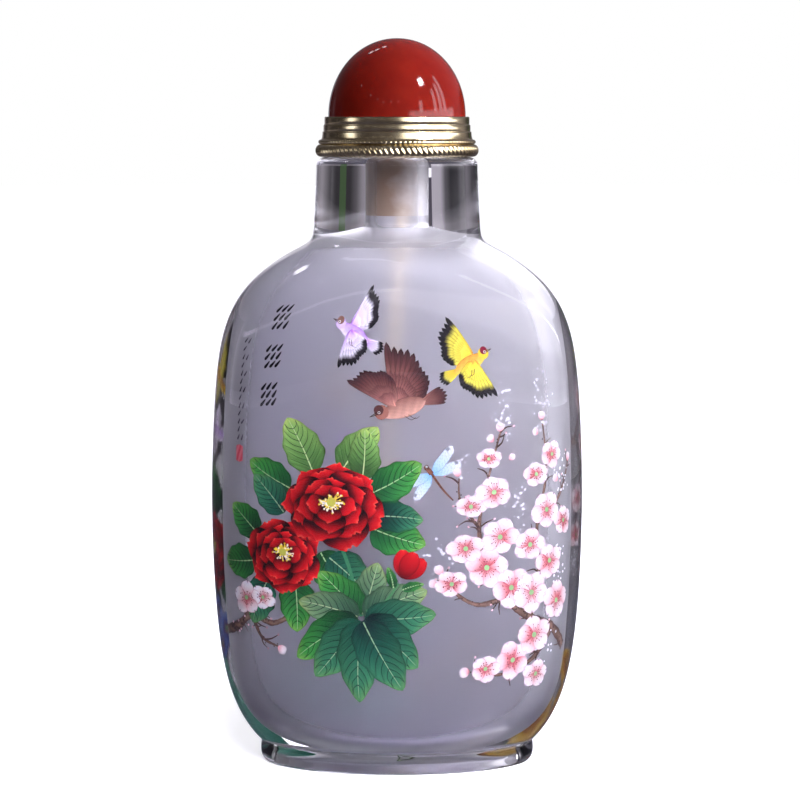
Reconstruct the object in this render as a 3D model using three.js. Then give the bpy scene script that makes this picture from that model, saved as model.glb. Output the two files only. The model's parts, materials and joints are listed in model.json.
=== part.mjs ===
// An inside-painted snuff bottle: a flattened clear glass flask on an oval foot, with a round neck and
// a drilled mouth, closed by a stopper. The stopper is a red glass cabochon set in a turned brass
// collar, with a cork plug under it that carries a long, thin bone spoon into the cavity.
//
// Millimetres, +Z up. X is the bottle's width, Y its thickness, and its broad front looks along -Y.
// The origin is the middle of the underside of the foot.
import * as THREE from "three";

// Driving dimensions
const bodyWidth = 45.2;
const bodyDepth = 27;
const faceWall = 3; // glass thickness behind the broad faces, at the belly
const sideWall = 4; // glass thickness at the narrow sides, at the belly
const bellyHeight = 32; // where the body is widest
const neckFoot = 63.7; // where the neck stands on the shoulders
const lipHeight = 73.75; // the neck's flat top
const overallHeight = 88;

const footHeight = 2.65;
const footHalf = { width: 16.75, depth: 10.15 };
const footRimWidth = 2.2;
const recessHeight = 0.9; // the hollow under the foot

const neckRadius = { top: 9.75, foot: 10.2 };
const boreRadius = 2.55;
const cavityFloor = 3.4;

const around = 48; // facets round the bottle
const contactGap = 0.05; // left between pieces that rest on each other

// How far the half-width has fallen at a share t of the way from the belly to an end: a slight
// taper along the side, then a corner whose tightness is corner and whose end slope is set by fall.
function fallOff(t, { taper, corner, fall }) {
  return (1 - taper * t * t) * Math.pow(Math.max(0, 1 - Math.pow(t, corner)), fall);
}

const shoulder = { reach: 36.1, taper: 0.145, corner: 7.44, fall: 1.43 };
const haunch = { reach: 34.3, taper: 0.142, corner: 6.4, fall: 0.4 };
const cavityShoulder = { reach: 34.6, taper: 0.145, corner: 7.44, fall: 1.3 };
const cavityHaunch = { reach: bellyHeight - cavityFloor, taper: 0.1, corner: 10, fall: 0.35 };

function halfWidthAt(z, widest, upper, lower) {
  const end = z > bellyHeight ? upper : lower;
  return widest * fallOff(Math.abs(z - bellyHeight) / end.reach, end);
}

// The body's outer half-width and half-depth at a height. The depth follows the width, from the
// round neck to the belly and from the belly to the oval foot.
function bodyHalves(z) {
  const widest = bodyWidth / 2;
  const deepest = bodyDepth / 2;
  const width = halfWidthAt(z, widest, shoulder, haunch);
  const end =
    z > bellyHeight
      ? { width: neckRadius.foot, depth: neckRadius.foot }
      : footHalf;
  const share = (width - end.width) / (widest - end.width);
  return { width, depth: end.depth + (deepest - end.depth) * Math.max(0, share) };
}

// The cavity's half-width and half-depth. Where it is narrow it is round, like the bore, and where
// it is wide its depth levels off at the broad faces' wall.
function cavityHalves(z) {
  const widest = bodyWidth / 2 - sideWall;
  const deepest = bodyDepth / 2 - faceWall;
  const width = halfWidthAt(z, widest, cavityShoulder, cavityHaunch);
  const levelling = 3;
  const limit = Math.pow(deepest, -levelling) - Math.pow(widest, -levelling);
  const narrow = Math.max(width, 1e-3);
  return { width, depth: Math.pow(Math.pow(narrow, -levelling) + limit, -1 / levelling) };
}

// An oval ring of points, anticlockwise seen from above. bow lifts its points towards +Y with the
// square of their distance from the middle, and shift moves the ring.
function ovalRing(width, depth, z, { sides = around, shift = [0, 0], bow = 0 } = {}) {
  const ring = [];
  for (let i = 0; i < sides; i++) {
    const turn = (2 * Math.PI * i) / sides;
    const x = width * Math.cos(turn);
    const y = depth * Math.sin(turn) + bow * (x / width) ** 2;
    ring.push(new THREE.Vector3(x + shift[0], y + shift[1], z));
  }
  return ring;
}

// A closed surface through a list of rings, with a fan to a point at each end. The rings run so
// that the surface's outside is on the right of its path, seen with the axis on the left.
function loft(start, rings, end) {
  const sides = rings[0].length;
  const points = [start, ...rings.flat(), end];
  const last = points.length - 1;
  const index = [];
  for (let i = 0; i < sides; i++) {
    const next = (i + 1) % sides;
    index.push(0, 1 + next, 1 + i);
    for (let r = 0; r + 1 < rings.length; r++) {
      const here = 1 + r * sides;
      const above = here + sides;
      index.push(here + i, here + next, above + next);
      index.push(here + i, above + next, above + i);
    }
    const top = 1 + (rings.length - 1) * sides;
    index.push(top + i, top + next, last);
  }
  return new THREE.BufferGeometry().setFromPoints(points).setIndex(index);
}

// A turned piece from its profile of [radius, height] pairs, which starts and ends on the axis.
function turned(profile, sides) {
  const points = profile.map(([radius, height]) => new THREE.Vector2(radius, height));
  return new THREE.LatheGeometry(points, sides).rotateX(Math.PI / 2);
}

// Points [radius, height] along an arc of an ellipse in the profile plane, from and to in quarter
// turns: -1 is its lowest point, 0 its outermost and 1 its highest.
function profileArc(radius, height, reach, rise, from, to, steps) {
  const points = [];
  for (let i = 0; i <= steps; i++) {
    const turn = ((from + ((to - from) * i) / steps) * Math.PI) / 2;
    points.push([radius + reach * Math.cos(turn), height + rise * Math.sin(turn)]);
  }
  return points;
}

function piece(name, geometry, color, roughness, metalness) {
  const material = new THREE.MeshStandardMaterial({ color, roughness, metalness });
  const mesh = new THREE.Mesh(geometry, material);
  mesh.name = name;
  return mesh;
}

// Heights from low to high, closer together towards both ends.
function heightsBetween(low, high, count) {
  const heights = [];
  for (let i = 0; i <= count; i++) {
    heights.push(low + ((high - low) * (1 - Math.cos((Math.PI * i) / count))) / 2);
  }
  return heights;
}

// The bottle: one piece of glass, as one surface from the hollow under the foot, round the foot, up
// the body and the neck, over the lip, and down the bore into the cavity.
function bottle() {
  const rings = [];
  const oval = (inset, z) => ovalRing(footHalf.width - inset, footHalf.depth - inset, z);

  // Underside: the recess, the flat rim, and the foot's rounded edge
  const undercut = 0.75; // how far the rounding takes the rim in from the foot's widest
  const bulgeHeight = 1.3;
  const notch = 0.3; // how far the foot draws in again where it meets the body
  const rimInner = undercut + footRimWidth;
  rings.push(oval(rimInner + recessHeight / 2, recessHeight), oval(rimInner, 0));
  const below = profileArc(-undercut, bulgeHeight, undercut, bulgeHeight, -1, 0, 4);
  const above = profileArc(-notch, bulgeHeight, notch, footHeight - bulgeHeight, 0, 1, 3);
  for (const [outwards, z] of [...below, ...above.slice(1)]) {
    rings.push(oval(-outwards, z));
  }

  // Body, whose formula gives the neck's own radius at the neck's foot
  for (const z of heightsBetween(footHeight, neckFoot - 0.25, 22).slice(1)) {
    const { width, depth } = bodyHalves(z);
    rings.push(ovalRing(width, depth, z));
  }

  // Neck, slightly waisted towards its top, with a rounded lip
  const lipRound = 1.05;
  const neckTop = lipHeight - lipRound;
  const neckSteps = 4;
  for (let i = 0; i <= neckSteps; i++) {
    const z = neckFoot + ((neckTop - neckFoot) * i) / neckSteps;
    const flare = Math.pow(1 - i / neckSteps, 1.3);
    const radius = neckRadius.top + (neckRadius.foot - neckRadius.top) * flare;
    rings.push(ovalRing(radius, radius, z));
  }
  const lip = profileArc(neckRadius.top - lipRound, neckTop, lipRound, lipRound, 0, 1, 3);
  for (const [radius, z] of lip.slice(1)) {
    rings.push(ovalRing(radius, radius, z));
  }

  // Mouth, with a small chamfer, and the bore down to the cavity's ceiling
  const chamfer = 0.3;
  const cavityTop = 65.3;
  rings.push(ovalRing(boreRadius + chamfer, boreRadius + chamfer, lipHeight));
  rings.push(ovalRing(boreRadius, boreRadius, lipHeight - chamfer));
  rings.push(ovalRing(boreRadius, boreRadius, cavityTop));
  for (const z of heightsBetween(cavityFloor, cavityTop, 20).slice(1, -1).reverse()) {
    const { width, depth } = cavityHalves(z);
    rings.push(ovalRing(width, depth, z));
  }

  const start = new THREE.Vector3(0, 0, recessHeight);
  const end = new THREE.Vector3(0, 0, cavityFloor);
  return piece("bottle", loft(start, rings, end), 0xd9d6e6, 0.05, 0);
}

// Stopper, from the lip up
const collarBase = lipHeight + contactGap;
const mouldings = { rim: 1.5, bead: 0.55, cove: 0.95, lowerBand: 0.85, upperBand: 0.95 }; // heights
const collarTop = Object.values(mouldings).reduce((sum, height) => sum + height, collarBase);
const seatDepth = 1; // how deep the cabochon sits inside the collar's bezel
const bezelInner = 8.33;

// The collar: brass, turned with a rounded rim as wide as the neck, a fine bead, a cove, and two
// plain bands that step inwards, the upper one being the thin bezel round the cabochon.
function collar() {
  const rimCore = 9.2;
  const rimBulge = 0.65;
  const beadBulge = 0.3;
  const coveReach = 0.22;
  const step = 0.12;
  const rimMiddle = collarBase + mouldings.rim / 2;
  const beadMiddle = collarBase + mouldings.rim + mouldings.bead / 2;
  const coveTop = beadMiddle + mouldings.bead / 2 + mouldings.cove;
  const lowerBandTop = coveTop + mouldings.lowerBand;
  const lowerBand = rimCore - coveReach - step;
  const upperBand = lowerBand - step;
  const profile = [
    [0, collarBase],
    ...profileArc(rimCore, rimMiddle, rimBulge, mouldings.rim / 2, -1, 1, 6),
    ...profileArc(rimCore, beadMiddle, beadBulge, mouldings.bead / 2, -1, 1, 4).slice(1),
    ...profileArc(rimCore, coveTop, coveReach, mouldings.cove, -1, -2, 3).slice(1),
    [lowerBand, coveTop],
    [lowerBand - 0.03, lowerBandTop],
    [upperBand, lowerBandTop],
    [upperBand, collarTop - 0.1],
    [upperBand - 0.08, collarTop],
    [bezelInner, collarTop],
    [bezelInner, collarTop - seatDepth],
    [0, collarTop - seatDepth],
  ];
  return piece("stopper_collar", turned(profile, 48), 0xc9a45c, 0.28, 1);
}

// The cabochon: a polished red glass dome, a little fuller than half an ellipse, on a short straight
// base that sits inside the bezel.
function cabochon() {
  const radius = bezelInner - contactGap;
  const base = collarTop - seatDepth + contactGap;
  const height = overallHeight - collarTop;
  const fullness = 2 / 2.03;
  const profile = [
    [0, base],
    [radius, base],
  ];
  const steps = 12;
  for (let i = 0; i < steps; i++) {
    const turn = (i / steps) * (Math.PI / 2);
    const rise = height * Math.pow(Math.sin(turn), fullness);
    profile.push([radius * Math.pow(Math.cos(turn), fullness), collarTop + rise]);
  }
  profile.push([0, overallHeight]);
  return piece("stopper_cabochon", turned(profile, 48), 0xa3170f, 0.08, 0);
}

// The plug: a tapered cork under the collar, that fills the mouth.
const plugLength = 5;
const plugBottom = collarBase - contactGap - plugLength;

function plug() {
  const topRadius = boreRadius - 0.15;
  const bottomRadius = topRadius - 0.2;
  const profile = [
    [0, plugBottom],
    [bottomRadius - 0.2, plugBottom],
    [bottomRadius, plugBottom + 0.25],
    [topRadius, collarBase - contactGap],
    [0, collarBase - contactGap],
  ];
  return piece("stopper_plug", turned(profile, 24), 0xa07850, 0.85, 0);
}

// The spoon: a straight tapered stem that flattens into a small leaf-shaped scoop, hollowed towards
// the back. It is set a little off the plug's middle and leans the other way.
const spoonTip = 30;
const scoopLength = 8;

function spoon() {
  const stemRadius = { root: 0.95, scoop: 0.7 };
  const scoopHalfWidth = 1.75;
  const scoopThickness = 0.4;
  const rootOffset = 0.6;
  const lean = -0.06; // sideways per millimetre down
  const top = plugBottom - contactGap;
  const sides = 16;
  const middleAt = (z) => rootOffset + lean * (top - z);
  const ring = (z, width, depth, bow) =>
    ovalRing(width, depth, z, { sides, shift: [middleAt(z), 0], bow });

  const rings = [];
  const steps = 14;
  for (let i = 1; i <= steps; i++) {
    const t = i / (steps + 1); // from the tip to the root of the scoop
    const leaf = Math.pow(Math.sin(Math.PI * Math.pow(t, 0.8)), 0.7);
    const blend = Math.max(0, (t - 0.55) / 0.45) ** 2;
    const width = scoopHalfWidth * leaf * (1 - blend) + stemRadius.scoop * blend;
    const depth = scoopThickness * Math.sqrt(leaf) * (1 - blend) + stemRadius.scoop * blend;
    rings.push(ring(spoonTip + scoopLength * t, width, depth, 0.5 * leaf * (1 - blend)));
  }
  rings.push(ring(spoonTip + scoopLength, stemRadius.scoop, stemRadius.scoop, 0));
  rings.push(ring(top, stemRadius.root, stemRadius.root, 0));

  const start = new THREE.Vector3(middleAt(spoonTip), 0, spoonTip);
  const end = new THREE.Vector3(middleAt(top), 0, top);
  return piece("stopper_spoon", loft(start, rings, end), 0xe6dcc0, 0.5, 0);
}

const stopper = new THREE.Group();
stopper.add(collar(), cabochon(), plug(), spoon());

const snuffBottle = new THREE.Group();
snuffBottle.add(bottle(), stopper);

export default snuffBottle;
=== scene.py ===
"""An inside-painted snuff bottle, put together from the foot up: the glass, the picture painted on the
wall of its cavity, and the stopper with its cork plug, spoon, brass collar and red glass cabochon."""
import bisect
import json
import math
import random
from functools import lru_cache

import bpy
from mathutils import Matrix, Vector

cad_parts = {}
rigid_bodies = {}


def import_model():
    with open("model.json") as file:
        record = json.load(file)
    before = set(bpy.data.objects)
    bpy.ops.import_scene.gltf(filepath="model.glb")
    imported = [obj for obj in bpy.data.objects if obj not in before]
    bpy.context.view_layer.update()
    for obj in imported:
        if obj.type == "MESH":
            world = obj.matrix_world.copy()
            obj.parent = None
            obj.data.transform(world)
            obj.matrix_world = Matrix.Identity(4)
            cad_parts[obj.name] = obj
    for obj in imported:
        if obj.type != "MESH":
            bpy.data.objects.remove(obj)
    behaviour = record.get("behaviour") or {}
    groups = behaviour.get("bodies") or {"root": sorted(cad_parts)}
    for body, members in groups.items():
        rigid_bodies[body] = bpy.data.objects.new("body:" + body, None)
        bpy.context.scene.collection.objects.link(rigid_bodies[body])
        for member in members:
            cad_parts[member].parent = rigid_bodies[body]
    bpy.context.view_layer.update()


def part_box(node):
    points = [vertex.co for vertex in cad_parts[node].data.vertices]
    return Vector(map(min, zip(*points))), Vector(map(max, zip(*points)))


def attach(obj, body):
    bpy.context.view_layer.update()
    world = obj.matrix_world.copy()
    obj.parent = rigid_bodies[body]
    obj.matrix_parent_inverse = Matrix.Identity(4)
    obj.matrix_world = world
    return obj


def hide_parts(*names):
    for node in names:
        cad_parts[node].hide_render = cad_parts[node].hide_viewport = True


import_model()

# ------------------------------------------------------------------------------------------------
# The bottle. One thick piece of clear glass, with oval sections that turn round at the neck. It is
# polished outside, and ground hollow through its mouth, so that the wall of the cavity is matt.
# ------------------------------------------------------------------------------------------------
MM = 0.001  # the sizes below are in millimetres

_, glass_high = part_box("bottle")
body_half = {"width": glass_high.x / MM, "depth": glass_high.y / MM}
lip_height = glass_high.z / MM
belly_height = 32.0
face_wall = 3.0
side_wall = 4.0
foot_half = {"width": 16.75, "depth": 10.15}
foot_height = 2.65
foot_rim_width = 2.2
recess_height = 0.9
neck_foot = 63.7
neck_radius = {"top": 9.75, "foot": 10.2}
lip_round = 1.05
bore_radius = 2.55
cavity_floor = 3.4
cavity_ceiling = 65.3
cavity_half = {
    "width": body_half["width"] - side_wall,
    "depth": body_half["depth"] - face_wall,
}

# An end of the body or cavity: how far it reaches from the belly, how much the side tapers on the
# way, how tight the corner is, and how steeply it falls in.
shoulder = {"reach": 36.1, "taper": 0.145, "corner": 7.44, "fall": 1.43}
haunch = {"reach": 34.3, "taper": 0.142, "corner": 6.4, "fall": 0.4}
cavity_shoulder = {"reach": 34.6, "taper": 0.145, "corner": 7.44, "fall": 1.3}
cavity_haunch = {"reach": belly_height - cavity_floor, "taper": 0.1, "corner": 10.0, "fall": 0.35}


def half_width_at(z, widest, upper, lower):
    """The half-width at a height, from the widest and from the two ends' shapes."""
    end = upper if z > belly_height else lower
    t = abs(z - belly_height) / end["reach"]
    corner = max(0.0, 1 - t ** end["corner"])
    return widest * (1 - end["taper"] * t * t) * corner ** end["fall"]


def body_ring(z):
    """Half-width, half-depth and height of the outside. The depth follows the width."""
    width = half_width_at(z, body_half["width"], shoulder, haunch)
    if z > belly_height:
        end = {"width": neck_radius["foot"], "depth": neck_radius["foot"]}
    else:
        end = foot_half
    share = max(0.0, (width - end["width"]) / (body_half["width"] - end["width"]))
    return width, end["depth"] + (body_half["depth"] - end["depth"]) * share, z


def cavity_ring(z):
    """The same for the cavity, which is round where it is narrow and levels off at the faces."""
    width = max(1e-3, half_width_at(z, cavity_half["width"], cavity_shoulder, cavity_haunch))
    limit = cavity_half["depth"] ** -3 - cavity_half["width"] ** -3
    return width, (width**-3 + limit) ** (-1 / 3), z


def arc_rings(inset, height, reach, rise, start, end, steps):
    """Rings up an arc of an ellipse on the foot's edge, start and end in quarter turns."""
    rings = []
    for i in range(steps + 1):
        turn = (start + (end - start) * i / steps) * math.pi / 2
        outwards = inset + reach * math.cos(turn)
        z = height + rise * math.sin(turn)
        rings.append((foot_half["width"] + outwards, foot_half["depth"] + outwards, z))
    return rings


def evenly(ring_at, start, end, step):
    """Rings from one height to another, about a step apart along the outline."""
    fine = [ring_at(start + (end - start) * i / 2000) for i in range(2001)]
    travelled = [0.0]
    for a, b in zip(fine, fine[1:]):
        travelled.append(travelled[-1] + math.hypot(b[0] - a[0], b[2] - a[2]))
    count = max(1, round(travelled[-1] / step))
    rings, j = [], 0
    for i in range(count + 1):
        while travelled[j] < travelled[-1] * i / count - 1e-9:
            j += 1
        rings.append(fine[j])
    return rings


def fire_polished(rings, height, reach):
    """Rounds the outline's corner near one height."""
    for _ in range(6):
        before = list(rings)
        for i in range(1, len(rings) - 1):
            if abs(before[i][2] - height) < reach:
                near = zip(before[i - 1], before[i], before[i + 1])
                rings[i] = tuple((a + 2 * b + c) / 4 for a, b, c in near)
    return rings


def neck_ring(z):
    """The neck, which widens a little towards its foot."""
    neck_top = lip_height - lip_round
    flare = max(0.0, (neck_top - z) / (neck_top - neck_foot)) ** 1.3
    radius = neck_radius["top"] + (neck_radius["foot"] - neck_radius["top"]) * flare
    return radius, radius, z


def glass_rings():
    """The whole surface, from the recess under the foot to the floor of the cavity, and the number
    of the ring where the cavity's ground wall begins."""
    undercut, bulge, notch, chamfer = 0.75, 1.3, 0.3, 0.3
    rim_inner = undercut + foot_rim_width
    rings = []
    for inset, z in [
        (rim_inner + 5, recess_height),
        (rim_inner + recess_height, recess_height),
        (rim_inner + recess_height / 2, recess_height * 0.8),
        (rim_inner + 0.08, 0.08),
        (rim_inner, 0.0),
        (undercut + 0.05, 0.0),
    ]:
        rings.append((foot_half["width"] - inset, foot_half["depth"] - inset, z))
    rings += arc_rings(-undercut, bulge, undercut, bulge, -1, 0, 10)
    rings += arc_rings(-notch, bulge, notch, foot_height - bulge, 0, 1, 8)[1:]
    outside = evenly(body_ring, foot_height + 0.05, neck_foot - 0.05, 0.6)
    outside += evenly(neck_ring, neck_foot + 0.2, lip_height - lip_round, 0.5)
    rings += fire_polished(outside, neck_foot, 1.3)
    for i in range(1, 9):
        turn = i / 8 * math.pi / 2
        radius = neck_radius["top"] - lip_round * (1 - math.cos(turn))
        rings.append((radius, radius, lip_height - lip_round * (1 - math.sin(turn))))
    for radius, z in [
        (bore_radius + chamfer, lip_height),
        (bore_radius + chamfer * 0.3, lip_height - chamfer * 0.3),
        (bore_radius, lip_height - chamfer),
    ]:
        rings.append((radius, radius, z))
    bore_start = len(rings)
    for i in range(1, 13):
        z = lip_height - chamfer + (cavity_ceiling - lip_height + chamfer) * i / 12
        rings.append((bore_radius, bore_radius, z))
    rings += evenly(cavity_ring, cavity_ceiling - 0.1, cavity_floor + 0.02, 0.6)
    return rings, bore_start


def new_piece(name, points, faces):
    """An object with a mesh of its own, from points in millimetres."""
    mesh = bpy.data.meshes.new(name)
    mesh.from_pydata([[c * MM for c in p] for p in points], [], faces)
    piece = bpy.data.objects.new(name, mesh)
    bpy.context.scene.collection.objects.link(piece)
    return piece


def turns(sides):
    return [2 * math.pi * i / sides for i in range(sides)]


def skinned(name, rings, ends):
    """A smooth closed mesh over rings of points, with a fan to a point at each end."""
    sides, last = len(rings[0]), 1 + len(rings) * len(rings[0])
    faces = []
    for i in range(sides):
        j = (i + 1) % sides
        faces.append((0, 1 + j, 1 + i))
        for low in range(1, last - sides, sides):
            high = low + sides
            faces.append((low + i, low + j, high + j, high + i))
        faces.append((last - sides + i, last - sides + j, last))
    piece = new_piece(name, [ends[0], *(point for ring in rings for point in ring), ends[1]], faces)
    piece.data.shade_smooth()
    return piece


def finish_material(name, **sockets):
    """A material with one Principled shader, its plain sockets set by name."""
    material = bpy.data.materials.new(name)
    material.use_nodes = True
    shader = material.node_tree.nodes["Principled BSDF"]
    for socket, value in sockets.items():
        shader.inputs[socket.replace("_", " ")].default_value = value
    return material, material.node_tree, shader


def add_bump(tree, shader, height, strength, distance):
    """Roughens the surface by a height, over a distance in metres."""
    bump = tree.nodes.new("ShaderNodeBump")
    bump.inputs["Strength"].default_value = strength
    bump.inputs["Distance"].default_value = distance
    tree.links.new(height, bump.inputs["Height"])
    tree.links.new(bump.outputs["Normal"], shader.inputs["Normal"])


def noise_in(tree, scale, detail=4.0, roughness=0.5):
    """Noise over the piece's own coordinates, in metres, with its scale in waves per metre."""
    place = tree.nodes.new("ShaderNodeTexCoord")
    noise = tree.nodes.new("ShaderNodeTexNoise")
    noise.inputs["Scale"].default_value = scale
    noise.inputs["Detail"].default_value = detail
    noise.inputs["Roughness"].default_value = roughness
    tree.links.new(place.outputs["Object"], noise.inputs["Vector"])
    return noise.outputs["Fac"]


def ramped(tree, value, *stops):
    """A colour for a value, between two stops of (value, colour)."""
    ramp = tree.nodes.new("ShaderNodeValToRGB")
    for element, (position, colour) in zip(ramp.color_ramp.elements, stops):
        element.position = position
        element.color = (*colour, 1)
    tree.links.new(value, ramp.inputs["Fac"])
    return ramp.outputs["Color"]


def patchy_slope(tree, growth, scale, patchiness):
    """A value that grows by so much a metre along each axis, and wanders by a noise."""
    place = tree.nodes.new("ShaderNodeTexCoord")
    slope = tree.nodes.new("ShaderNodeVectorMath")
    slope.operation = "DOT_PRODUCT"
    slope.inputs[1].default_value = growth
    tree.links.new(place.outputs["Object"], slope.inputs[0])
    patchy = tree.nodes.new("ShaderNodeMath")
    patchy.operation = "MULTIPLY_ADD"
    patchy.inputs[1].default_value = patchiness
    tree.links.new(noise_in(tree, scale, 4), patchy.inputs[0])
    tree.links.new(slope.outputs["Value"], patchy.inputs[2])
    return patchy.outputs["Value"]


bottle_sides = 144
rings, bore_start = glass_rings()
oval_rings = [
    [(width * math.cos(turn), depth * math.sin(turn), z) for turn in turns(bottle_sides)]
    for width, depth, z in rings
]
bottle = skinned("bottle_glass", oval_rings, [(0, 0, recess_height), (0, 0, cavity_floor)])
clear_glass, tree, shader = finish_material(
    "clear_glass", Base_Color=(0.985, 0.98, 1.0, 1), Roughness=0.0, IOR=1.5, Transmission_Weight=1.0
)
add_bump(tree, shader, noise_in(tree, 70, 2), 0.04, 0.001)

# The cavity's wall: ground matt and washed thinly in grey-violet in patches, with painted shade and light in the
# wash: darker towards the bottom left, paler towards the top right
ground_glass, tree, shader = finish_material(
    "ground_glass", Roughness=0.42, IOR=1.5, Transmission_Weight=0.78
)
grinding_marks = {"scale": 2600, "strength": 0.25, "depth": 0.04 * MM}
marks = noise_in(tree, grinding_marks["scale"], 3)
add_bump(tree, shader, marks, grinding_marks["strength"], grinding_marks["depth"])
# Painted shade and light: the grey-violet darkens towards the bottom left and pales towards the lit top right
wash_and_shade = patchy_slope(tree, (20, 0, 9), 90, 0.22)
wash_and_shade = ramped(tree, wash_and_shade, (0.28, (0.57, 0.555, 0.64)), (0.95, (0.98, 0.97, 1.0)))
tree.links.new(wash_and_shade, shader.inputs["Base Color"])

# The bore: drilled and left rough, with painted shade: brown down its left side, fading to near white on its
# right side, where the light falls
shaded_bore_glass, tree, shader = finish_material(
    "shaded_bore_glass", Roughness=0.4, IOR=1.5, Transmission_Weight=0.55
)
marks = noise_in(tree, grinding_marks["scale"], 3)
add_bump(tree, shader, marks, grinding_marks["strength"], grinding_marks["depth"])
# Painted shade: brown on the bore's left, near white on its lit right
bore_shade = patchy_slope(tree, (190, 0, 0), 500, 0.7)
bore_shade = ramped(tree, bore_shade, (0.28, (0.36, 0.25, 0.17)), (0.85, (0.98, 0.97, 0.96)))
tree.links.new(bore_shade, shader.inputs["Base Color"])

# How far out and how high the bore's painted shade is laid
bore_shade_reach = 3.2  # out from the axis
bore_shade_foot = 66.5
for material in (clear_glass, ground_glass, shaded_bore_glass):
    bottle.data.materials.append(material)
first_ground = 1 + bore_start * bottle_sides
for face in bottle.data.polygons:
    if min(face.vertices) >= first_ground:
        in_bore = face.center.xy.length < bore_shade_reach * MM and face.center.z > bore_shade_foot * MM
        face.material_index = 2 if in_bore else 1
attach(bottle, "root")
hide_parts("bottle")

# ------------------------------------------------------------------------------------------------
# The leaves. The picture is painted inside through the mouth with a bent brush, in fine opaque
# colours that bite into the ground wall, the nearest touch first. The leaves frame the peonies and
# hang in a cluster under them.
# ------------------------------------------------------------------------------------------------
wall_gap = 0.02
coat = 0.007  # from one touch of paint to the next over it
film = 0.5  # a touch's own thickness, in coats

# Turns round the cavity against the length along its wall at the belly, from the front's middle
wall_steps = 720
wall_step = math.pi / wall_steps
wall_lengths = [0.0]
for i in range(wall_steps):
    turn = (i + 0.5) * wall_step
    stretch = math.hypot(cavity_half["width"] * math.cos(turn), cavity_half["depth"] * math.sin(turn))
    wall_lengths.append(wall_lengths[-1] + stretch * wall_step)
back_middle = wall_lengths[-1]
levels_per_mm = 50


@lru_cache(maxsize=None)
def wall_level(level):
    """The cavity's half-width and half-depth at one of its levels, and how fast they grow with height."""
    z, reach = level / levels_per_mm, 0.05
    low, high = cavity_ring(z - reach)[:2], cavity_ring(z + reach)[:2]
    sizes = [(a + b) / 2 for a, b in zip(low, high)]
    return (*sizes, *((b - a) / (2 * reach) for a, b in zip(low, high)))


def on_wall(along, z, lift):
    """A point on the wall, along millimetres to the right of the front's middle."""
    along = (along + back_middle) % (2 * back_middle) - back_middle
    k = bisect.bisect_left(wall_lengths, abs(along), 1, wall_steps)
    share = (abs(along) - wall_lengths[k - 1]) / (wall_lengths[k] - wall_lengths[k - 1])
    turn = math.copysign((k - 1 + share) * wall_step, along)
    level = math.floor(z * levels_per_mm)
    levels = zip(wall_level(level), wall_level(level + 1))
    width, depth, width_growth, depth_growth = (a + (b - a) * (z * levels_per_mm - level) for a, b in levels)
    side, face = math.sin(turn), math.cos(turn)
    slope = side * side * width_growth / width + face * face * depth_growth / depth
    out = Vector((side / width, -face / depth, -slope)).normalized()
    return Vector((width * side, -depth * face, z)) + out * lift


wet = []  # the touches that no piece holds yet
fineness = 1.0  # how finely a touch is divided


def touch(rows, coats):
    """Lays one touch of paint: rows of (along, z, colour), over so many coats."""
    wet.append((rows, coats))


def ink(red, green, blue):
    """A pigment's light values from its mix, 0 to 255, by the sRGB curve."""
    mix = (c / 255 for c in (red, green, blue))
    return Vector([c / 12.92 if c < 0.0405 else ((c + 0.055) / 1.055) ** 2.4 for c in mix])


def inks(*stops):
    """A row of (share, colour), from stops of (share, red, green, blue)."""
    return [(share, ink(*mix)) for share, *mix in stops]


def blended(tones, share):
    """A colour out of a row of (share, colour)."""
    for (a, low), (b, high) in zip(tones, tones[1:]):
        if share <= b:
            return low.lerp(high, max(0.0, (share - a) / (b - a)))
    return tones[-1][1]


def away(start, aim, reach, squash=1.0):
    """The point a reach away in a direction in degrees."""
    turn = math.radians(aim)
    return (start[0] + reach * math.cos(turn), start[1] + reach * squash * math.sin(turn))


def brushed(
    root, aim, length, width, outline, shade, coats, bend, grain, frill=lambda v: 0.0, squash=1.0
):
    """A petal, leaf or feather: from its root in a direction in degrees, with its half-width a share
    outline(u) of width, curving sideways by bend, and its colour shade(u, v). It is divided by its
    grain along and across, and frill(v) lengthens its tip."""
    along, across = (max(6, round(count * fineness)) for count in grain)
    rows = []
    for i in range(along + 1):
        u = i / along
        row = []
        for j in range(across + 1):
            v = 2 * j / across - 1
            far = length * u * (1 + frill(v) * u * u)
            wide = width * max(0.02, outline(u)) * v + bend * length * u * u
            row.append((*away(away(root, aim, far, squash), aim + 90, wide, squash), shade(u, v)))
        rows.append(row)
    touch(rows, coats)


def curve_through(points, steps):
    """A smooth curve through a few points, in so many steps between each two."""
    path = [points[0], *points, points[-1]]
    curve = []
    for k in range(len(points) - 1):
        for t in (i / steps for i in range(steps)):
            weights = (-t + 2 * t**2 - t**3, 2 - 5 * t**2 + 3 * t**3, t + 4 * t**2 - 3 * t**3, t**3 - t**2)
            near = path[k : k + 4]
            curve.append(tuple(sum(w * p[axis] for w, p in zip(weights, near)) / 2 for axis in (0, 1)))
    return curve + [tuple(points[-1])]


def line(points, widths, shade, coats, steps=8, across=2, unevenness=0.0):
    """A stem, twig or hair, from one width to another, with its colour shade(share, v)."""
    rng = random.Random(repr(points))
    path = curve_through(points, steps)
    rows = []
    for i, (x, z) in enumerate(path):
        a, b = path[max(0, i - 1)], path[min(len(path) - 1, i + 1)]
        aim = math.degrees(math.atan2(b[1] - a[1], b[0] - a[0]))
        share = i / (len(path) - 1)
        half = (widths[0] + (widths[1] - widths[0]) * share) / 2 * (1 + rng.uniform(-1, 1) * unevenness)
        row = []
        for j in range(across + 1):
            v = 2 * j / across - 1
            row.append((*away((x, z), aim + 90, half * v), shade(share, v)))
        rows.append(row)
    touch(rows, coats)


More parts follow.
